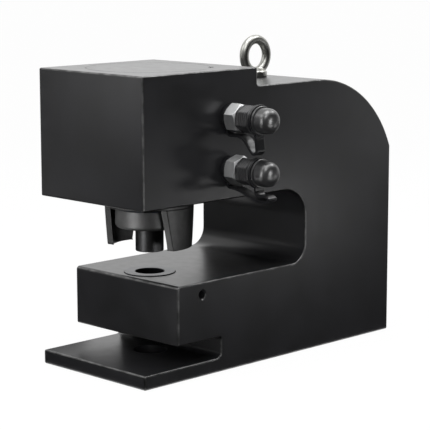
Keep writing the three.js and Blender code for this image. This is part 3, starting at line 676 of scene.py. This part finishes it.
def coupler_body(name, degrees):
    """A nipple with a chamfered hexagon and a threaded nose."""
    piece = hexagon_bar(name, HEXAGON_ACROSS, HEXAGON_START, HEXAGON_END)
    place(piece, turn=(0, 0, -degrees))
    crown = HEXAGON_ACROSS / math.sqrt(3) + 0.1
    combine(piece, spun("hexagon_crown", [
        (0, HEXAGON_START), (9.6, HEXAGON_START), (crown, HEXAGON_START + 1),
        (crown, HEXAGON_END - 1.4), (9.3, HEXAGON_END), (0, HEXAGON_END)]), "INTERSECT")
    break_edges(piece, 0.2, 2)
    root, crest, pitch, turns = 6.9, 7.6, 1.4, 7
    threads = []
    for turn in range(turns):
        start = 16 + pitch * turn
        threads += [(root, start), (crest, start + 0.5), (crest, start + 0.8), (root, start + 1.3)]
    combine(piece, spun("coupler_shank", [
        (0, -12.7), (7.6, -12.7), (8.4, -11.9), (8.4, 5.6), (7.2, 5.6), (7.2, 15.6)] + threads + [
        (7.2, 26), (root, 26.2), (6.6, 27), (6.6, 28.7), (6.3, 29), (0, 29)]), "UNION")
    cut(piece, spun("coupler_bore", [
        (0, -14), (3, -14), (3, -7), (4.6, -7), (4.6, 26), (2.8, 27.8), (2.8, 30), (0, 30)], 64))
    return piece


def coupler_poppet(name):
    """The valve: a stem in the spring, a head and a cone that closes the nose."""
    return break_edges(spun(name, [
        (0, 16.7), (1.5, 16.7), (1.5, 20.7), (4.3, 20.7), (4.3, 25.7), (1.9, 28.1), (1.9, 28.7),
        (0, 28.7)], 64), 0.1, 2)


def poppet_spring(name):
    """A round wire coiled inside the nipple, from its seat to the poppet's shoulder."""
    wire_radius, coil_radius, start, pitch, turns = 0.45, 3.8, -6.2, 2.35, 11
    bpy.ops.mesh.primitive_circle_add(
        vertices=10, radius=wire_radius * MM, fill_type="NOTHING",
        location=(coil_radius * MM, 0, start * MM), rotation=(math.pi / 2, 0, 0))
    piece = settle(name)
    finish_with(
        piece, "SCREW", axis="Z", angle=FULL_TURN, screw_offset=pitch * MM, iterations=turns,
        steps=28, render_steps=28, use_normal_calculate=True)
    start_editing(piece, "EDGE")
    pick_none()
    bpy.ops.mesh.select_non_manifold()
    bpy.ops.mesh.edge_face_add()
    face_outwards()
    stop_editing()
    return piece


def rib_grip(piece):
    """Presses V-shaped ribs round the grip, 1.9 mm apart and 0.5 mm deep."""
    start, half_pitch, levels, shrink = 16.8, 0.95, 12, 0.945
    start_editing(piece, "VERT")
    for level in range(levels):
        split_at(start + half_pitch * level)
    pick_none()
    work = bmesh.from_edit_mesh(piece.data)
    for corner in work.verts:
        level = (corner.co.z / MM - start) / half_pitch
        if 0.5 < level < levels - 1.5 and round(level) % 2 == 1:
            corner.select_set(True)
    bmesh.update_edit_mesh(piece.data)
    bpy.ops.transform.resize(value=(shrink, shrink, 1))
    stop_editing()


def cap_dome():
    """The dome's outline, a little fuller than an ellipse."""
    radius, start, height, steps, fullness = 9.2, 38.5, 7.4, 18, 2 / 2.4
    outline = [(radius, 33.3)]
    for step in range(steps):
        angle = math.pi / 2 * step / steps
        outline.append((
            radius * math.cos(angle) ** fullness, start + height * math.sin(angle) ** fullness))
    return outline + [(0, start + height)]


def dust_cap(name, degrees, smooth, ribbed):
    """A moulded cap: hexagonal grip, two flanges round the swivel's groove and a dome."""
    piece = hexagon_bar(name, GRIP_ACROSS, GRIP_START, 28)
    place(piece, turn=(0, 0, 30 - degrees))
    start_editing(piece, "EDGE")
    pick_edges(piece, lambda a, b: abs(a.z - b.z) > 5)
    round_picked(1, 5)
    stop_editing()
    break_edges(piece, 0.3)
    rib_grip(piece)
    combine(piece, spun("cap_head", [
        (0, 27.7), (10.6, 27.7), (10.9, 28), (10.9, 29), (10.6, 29.3), (9.5, 29.3), (9.5, 31.7),
        (10.1, 31.7), (10.4, 32), (10.4, 33), (10.1, 33.3)] + cap_dome()), "UNION")
    cut(piece, spun("cap_thread", [
        (0, 14), (8.3, 14), (8.3, GRIP_START), (7.9, GRIP_START + 0.4), (7.9, 29.3),
        (6.2, 29.3), (6.2, 41.5), (0, 41.5)], 64))
    piece.data.materials.append(smooth)
    piece.data.materials.append(ribbed)
    give_second_material(piece, lambda middle, normal: middle.z < 27.6)
    return piece


def cap_swivel(name):
    """A loose rubber ring in the cap's groove, with a tab for the strap."""
    piece = spun(name, closed_ring(9.8, 11.2, SWIVEL_START, SWIVEL_END))
    tab = block("swivel_tab", (-4.8, -12.6, SWIVEL_START), (4.8, -9.5, SWIVEL_END))
    cut(tab, spun("swivel_hole", [(0, 28), (10.4, 28), (10.4, 33), (0, 33)]))
    combine(piece, tab, "UNION")
    return break_edges(piece, 0.35)


def slope(before, here, after, span_before, span_after):
    """A line's direction at a place, from the places and the spans on both its sides."""
    return ((here - before) / span_before - (after - before) / (span_before + span_after)
            + (after - here) / span_after)


def smooth_line(places, steps):
    """Points on a smooth line through the places, with some steps from each to the next."""
    ends = [places[0]] + places + [places[-1]]
    line = []
    for before, start, end, after in zip(ends, ends[1:], ends[2:], ends[3:]):
        points = [Vector(p) for p in (before, start, end, after)]
        spans = [max((b - a).length ** 0.5, 1e-4) for a, b in zip(points, points[1:])]
        if before == start:
            spans[0] = spans[1]
            points[0] = 2 * points[1] - points[2]
        if end == after:
            spans[2] = spans[1]
            points[3] = 2 * points[2] - points[1]
        slope_in = slope(*points[:3], spans[0], spans[1]) * spans[1]
        slope_out = slope(*points[1:], spans[1], spans[2]) * spans[1]
        for step in range(steps):
            t = step / steps
            line.append(
                points[1] * (2 * t ** 3 - 3 * t ** 2 + 1) + slope_in * (t ** 3 - 2 * t ** 2 + t)
                + points[2] * (3 * t ** 2 - 2 * t ** 3) + slope_out * (t ** 3 - t ** 2))
    return line + [Vector(places[-1])]


def strap_route(shares, drop):
    """The strap's middle line as (out, down) in mm: the same turns as in the CAD.

    shares give the loop's places between the neck and the tab, and drop its lowest point.
    """
    neck, under, tab = 2.35, 12.5, 30.5
    places = [(neck, 8.6), (neck, 11.05), (4.35, under)]
    places += [(out * tab, under + down * (drop - under)) for out, down in shares]
    # It ends a hair inside the swivel's tab
    places += [(tab, 13.9), (tab, 12.5)]
    return smooth_line(places, 6)


def cap_strap(name, shares, drop):
    """A flat rubber strap, extruded along its route and joined to its ring at the neck."""
    # Narrow outer rows keep the rounding of its edges tight
    rows, thickness = (0.8, 7.4, 0.8), 2
    piece = draw_line(name, [
        (-sum(rows) / 2, -spot.y, spot.x) for spot in strap_route(shares, drop)])
    bpy.ops.mesh.select_mode(type="EDGE")
    pick_all()
    for row in rows:
        extrude(x=row)
    stop_editing()
    finish_with(piece, "SOLIDIFY", thickness=thickness * MM, offset=0, use_even_offset=True)
    start_editing(piece, "FACE")
    face_outwards()
    stop_editing()
    finish_with(piece, "SUBSURF", levels=2, render_levels=2)
    cut(piece, spun("neck_space", [(0, 0), (9.1, 0), (9.1, 4.6), (0, 4.6)]))
    ring = break_edges(spun("strap_ring", closed_ring(8.7, 9.6, 0.4, 4.3)), 0.3, 2)
    only(piece)
    ring.select_set(True)
    bpy.ops.object.join()
    return piece


def coupler(finish, side, height, hexagon_turn, cap_turn, shares, drop):
    """A coupler with its valve, cap, swivel and strap. Gives back the cap.

    The turns are in degrees, and shares and drop are the strap's.
    """
    dress(
        stand_out(coupler_body(side + "_nipple", hexagon_turn), height), "frame_body",
        finish["dull_zinc"], side + "_coupler_body")
    dress(
        stand_out(coupler_poppet(side + "_poppet"), height), side + "_poppet_body",
        finish["honed"], side + "_coupler_poppet")
    spring = dress(
        stand_out(poppet_spring(side + "_coil"), height), "frame_body", finish["spring"],
        side + "_poppet_spring")
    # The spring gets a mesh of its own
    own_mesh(spring)
    cap = dust_cap(side + "_cap", cap_turn, finish["nylon"], finish["grip"])
    dress(
        stand_out(cap, height), side + "_cap_body", finish["nylon"],
        side + "_dust_cap")
    dress(
        stand_out(cap_swivel(side + "_swivel"), height), side + "_swivel_body",
        finish["rubber"], side + "_cap_swivel")
    # The strap bends between the neck and the swivel, and is attached to no body
    strap = stand_out(cap_strap(side + "_strap", shares, drop), height)
    only(strap)
    bpy.ops.object.shade_smooth_by_angle(angle=SHARP)
    strap.data.materials.clear()
    strap.data.materials.append(finish["rubber"])
    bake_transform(strap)
    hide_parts(side + "_cap_strap")
    return cap


def couplers(finish):
    """Both couplers, turned and with straps hung as in the photograph. Gives back the caps."""
    upper_shares = (
        (0.26, 0), (0.47, 0.02), (0.62, 0.2), (0.735, 0.53), (0.83, 0.83), (0.925, 1),
        (1.02, 0.86), (1.023, 0.57))
    lower_shares = (
        (0.26, 0.02), (0.46, 0.17), (0.65, 0.45), (0.88, 0.81), (1.11, 1), (1.325, 0.99),
        (1.41, 0.74), (1.33, 0.49), (1.21, 0.48), (1.075, 0.54))
    return [
        coupler(
            finish, "upper", UPPER_PORT, hexagon_turn=17, cap_turn=4.5, shares=upper_shares,
            drop=24.2),
        coupler(
            finish, "lower", LOWER_PORT, hexagon_turn=-20, cap_turn=-6.5, shares=lower_shares,
            drop=19.4)]


# ---- Studio ----

# The camera, fitted to the frame's corners in the photograph, in degrees and metres
AZIMUTH, ELEVATION, ROLL = -44.895, 9.573, -0.084
LOOKS_AT = Vector((0, 0, 0.12))
DISTANCE, SHIFT_RIGHT, SHIFT_UP = 1.2876, -0.00594, -0.01634
# In pixels of the photograph, and the sensor in mm
PICTURE_WIDTH, FOCAL_LENGTH = 430, 1667.4
SENSOR_WIDTH = 36

# Where the high softboxes aim
AT_COUPLERS = (-0.05, -0.095, 0.17)


def camera():
    """The photograph's view."""
    azimuth, elevation, roll = (math.radians(a) for a in (AZIMUTH, ELEVATION, ROLL))
    forward = Vector((
        -math.sin(azimuth) * math.cos(elevation), math.cos(azimuth) * math.cos(elevation),
        -math.sin(elevation)))
    right = Vector((math.cos(azimuth), math.sin(azimuth), 0))
    up = right.cross(forward)
    right, up = (
        right * math.cos(roll) + up * math.sin(roll), up * math.cos(roll) - right * math.sin(roll))
    spot = LOOKS_AT - forward * DISTANCE + right * SHIFT_RIGHT + up * SHIFT_UP
    lens = bpy.data.cameras.new("camera")
    lens.sensor_fit = "HORIZONTAL"
    lens.sensor_width = SENSOR_WIDTH
    lens.lens = SENSOR_WIDTH * FOCAL_LENGTH / PICTURE_WIDTH
    lens.clip_start = 0.05
    lens.clip_end = 20
    eye = bpy.data.objects.new("camera", lens)
    bpy.context.scene.collection.objects.link(eye)
    eye.matrix_world = Matrix((
        (right.x, up.x, -forward.x, spot.x), (right.y, up.y, -forward.y, spot.y),
        (right.z, up.z, -forward.z, spot.z), (0, 0, 0, 1)))
    bpy.context.scene.camera = eye


def seen_rays(tree):
    """One for the rays of the camera, of mirrors and of glass, and zero for diffuse light."""
    rays = add(tree, "ShaderNodeLightPath")
    either = add(tree, "ShaderNodeMath", {"operation": "MAXIMUM"}, {
        0: rays.outputs["Is Camera Ray"], 1: rays.outputs["Is Glossy Ray"]})
    return add(tree, "ShaderNodeMath", {"operation": "MAXIMUM"}, {
        0: either.outputs[0], 1: rays.outputs["Is Transmission Ray"]}).outputs[0]


def white_room():
    """A white surround for the eye and for reflections, dimmer as a light."""
    world = bpy.data.worlds.new("white_room")
    bpy.context.scene.world = world
    world.use_nodes = True
    tree = world.node_tree
    tree.nodes.clear()
    dim = add(tree, "ShaderNodeBackground", {"Color": (1, 1, 1, 1), "Strength": 0.7})
    bright = add(tree, "ShaderNodeBackground", {"Color": (1, 1, 1, 1), "Strength": 1})
    mixed = add(tree, "ShaderNodeMixShader", links={
        "Fac": seen_rays(tree), 1: dim.outputs[0], 2: bright.outputs[0]})
    add(tree, "ShaderNodeOutputWorld", links={"Surface": mixed.outputs[0]})


def pale_floor():
    """White paper under the machine: evenly white to the eye, with a faint shadow."""
    bpy.ops.mesh.primitive_plane_add(size=12, location=(0, 0, -0.0004))
    floor = settle("floor")
    material, tree = blank("white_sweep")
    paper = add(tree, "ShaderNodeBsdfDiffuse", {"Color": linear("#f0f0f0")})
    glow = add(tree, "ShaderNodeEmission", {"Color": (1, 1, 1, 1), "Strength": 1})
    share = add(tree, "ShaderNodeMath", {"operation": "MULTIPLY", 1: 0.96}, {0: seen_rays(tree)})
    mixed = add(tree, "ShaderNodeMixShader", links={
        "Fac": share.outputs[0], 1: paper.outputs[0], 2: glow.outputs[0]})
    add(tree, "ShaderNodeOutputMaterial", links={"Surface": mixed.outputs[0]})
    floor.data.materials.append(material)


def aimed(middle, target):
    """The rotation that turns a lamp or a card at the middle to face the target."""
    return (Vector(target) - Vector(middle)).to_track_quat("-Z", "Y").to_euler()


def softbox(name, middle, target, width, height, brightness, lit=None):
    """A soft rectangular lamp that the camera doesn't see. A brightness of 1 mirrors as white.

    lit is the collection that it lights, in place of everything.
    """
    lamp = bpy.data.lights.new(name, "AREA")
    lamp.shape = "RECTANGLE"
    lamp.size, lamp.size_y = width, height
    lamp.energy = math.pi * width * height * brightness
    holder = bpy.data.objects.new(name, lamp)
    bpy.context.scene.collection.objects.link(holder)
    holder.location = middle
    holder.rotation_euler = aimed(middle, target)
    holder.visible_camera = False
    if lit:
        holder.light_linking.receiver_collection = lit


def black_flag(name, middle, target, width, height):
    """A black card out of the picture that darkens what a side of the machine mirrors."""
    bpy.ops.mesh.primitive_plane_add(size=1)
    card = bpy.context.object
    card.scale = (width, height, 1)
    card.rotation_euler = aimed(middle, target)
    card.location = middle
    settle(name)
    material, tree = blank("black_felt")
    felt = add(tree, "ShaderNodeBsdfDiffuse", {"Color": linear("#050505")})
    add(tree, "ShaderNodeOutputMaterial", links={"Surface": felt.outputs[0]})
    card.data.materials.append(material)
    card.visible_camera = False
    card.visible_diffuse = False
    card.visible_shadow = False


def lit_group(name, pieces):
    """A collection of pieces for a lamp that lights only them."""
    group = bpy.data.collections.new(name)
    for piece in pieces:
        group.objects.link(piece)
    return group


def studio(body, tools):
    """A white room, with flags that keep the black sides dark and softboxes that shape them."""
    lit_body = lit_group("lit_body", [body])
    lit_tools = lit_group("lit_tools", tools)
    white_room()
    pale_floor()
    for flag in (
            # What the near side and the front mirror, at the walls and on the floor
            ("flag_right", (0.4, -0.45, 0.3), (0.4, 0, 0.3), 1.8, 0.6),
            ("flag_left", (-0.55, 0.25, 0.3), (0, 0.25, 0.3), 1.4, 0.6),
            ("flag_floor_right", (0.3, -0.254, 0.0005), (0.3, -0.254, 1), 1.8, 0.392),
            ("flag_floor_left", (-0.343, 0.25, 0.0005), (-0.343, 0.25, 1), 0.414, 1.4),
            # Under the base a black sheet, painted shade for what the slug hole mirrors; and
            # behind it a flag for the base plate's top
            ("shade_sheet_under_base", (0, 0, -0.0002), (0, 0, 1), 0.25, 0.1),
            ("flag_base_left", (-0.065, 0.2, 0.042), (-0.065, 0, 0.042), 0.19, 0.084)):
        black_flag(*flag)
    for lamp in (
            # High round the couplers, for the light on tops, nipples and domes
            ("top_softbox", (-0.05, -0.095, 1.07), AT_COUPLERS, 0.6, 0.6, 5),
            ("left_softbox", (-0.66, 0.01, 0.49), AT_COUPLERS, 0.3, 0.3, 6),
            # Low, for the punch's tools and the caps alone
            ("left_tools_softbox", (-0.53, 0.03, 0.2), (-0.08, 0, 0.2), 0.16, 0.42, 4.5,
             lit_tools),
            ("front_tools_softbox", (0.005, -0.43, 0.18), (-0.05, 0, 0.18), 0.12, 0.14, 6.5,
             lit_tools),
            ("back_left_softbox", (-0.455, 0.257, 0.62), AT_COUPLERS, 0.3, 0.3, 2.4),
            # Far behind, for the shine on the flat tops
            ("back_softbox", (0.7, 0.66, 0.64), (0, 0, 0.2), 1.2, 0.5, 0.75),
            ("front_softbox", (-0.452, -0.497, 0.733), AT_COUPLERS, 0.3, 0.3, 5.5),
            ("right_top_softbox", (0.43, -0.255, 0.77), AT_COUPLERS, 0.25, 0.25, 7),
            # Low in front: the stripper's legs, and weaker for the table's front edge
            ("stripper_softbox", (-0.235, 0.035, 0.01), (-0.075, -0.03, 0.1), 0.05, 0.05, 7,
             lit_tools),
            ("table_softbox", (-0.235, 0.035, 0.01), (-0.075, -0.03, 0.1), 0.05, 0.05, 1.5,
             lit_body),
            # At the corner, for the light lines on the vertical edges with their painted highlight
            # metal
            ("edge_softbox", (-0.56, -0.48, 0.12), (-0.13, -0.056, 0.12), 0.25, 0.3, 5, lit_body),
            # In front of the flags: the broad soft bands on the near side, then on the front
            ("right_low_strip", (0.35, -0.42, 0.03), (0.35, 0, 0.03), 0.2, 0.06, 3.5),
            ("right_panel", (0.625, -0.42, 0.16), (0.625, 0, 0.16), 0.25, 0.2, 1.15),
            ("front_low_strip", (-0.015, -0.42, 0.03), (-0.015, 0, 0.03), 0.27, 0.06, 3.2),
            ("left_panel", (-0.5, 0.325, 0.32), (0, 0.325, 0.32), 0.15, 0.36, 2.35),
            ("left_low_strip", (-0.5, 0.525, 0.03), (0, 0.525, 0.03), 0.25, 0.06, 0.9)):
        softbox(*lamp)
    bpy.context.scene.view_settings.view_transform = "Standard"


# ---- The machine ----

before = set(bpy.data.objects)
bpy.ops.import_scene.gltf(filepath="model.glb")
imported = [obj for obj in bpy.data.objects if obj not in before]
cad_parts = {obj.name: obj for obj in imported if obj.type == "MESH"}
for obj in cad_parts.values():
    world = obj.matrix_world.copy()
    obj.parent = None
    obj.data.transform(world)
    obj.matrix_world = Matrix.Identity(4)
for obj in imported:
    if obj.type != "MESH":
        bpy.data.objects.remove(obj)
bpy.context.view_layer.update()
camera()
finish = finishes()
body = frame_body(finish["enamel"], finish["edge_highlight"])
cylinder_cap(finish["enamel"])
grub_screws(finish["blackened"])
ram(finish["honed"])
rod_gland(finish["blackened"])
cylinder_rings(finish)
tools = [punch_nut(finish["worn"]), punch(finish["tool"]), stripper(finish["blackened"])]
die(finish["die"])
eye_bolt(finish["zinc"])
tools += couplers(finish)
studio(body, tools)
bpy.context.view_layer.update()
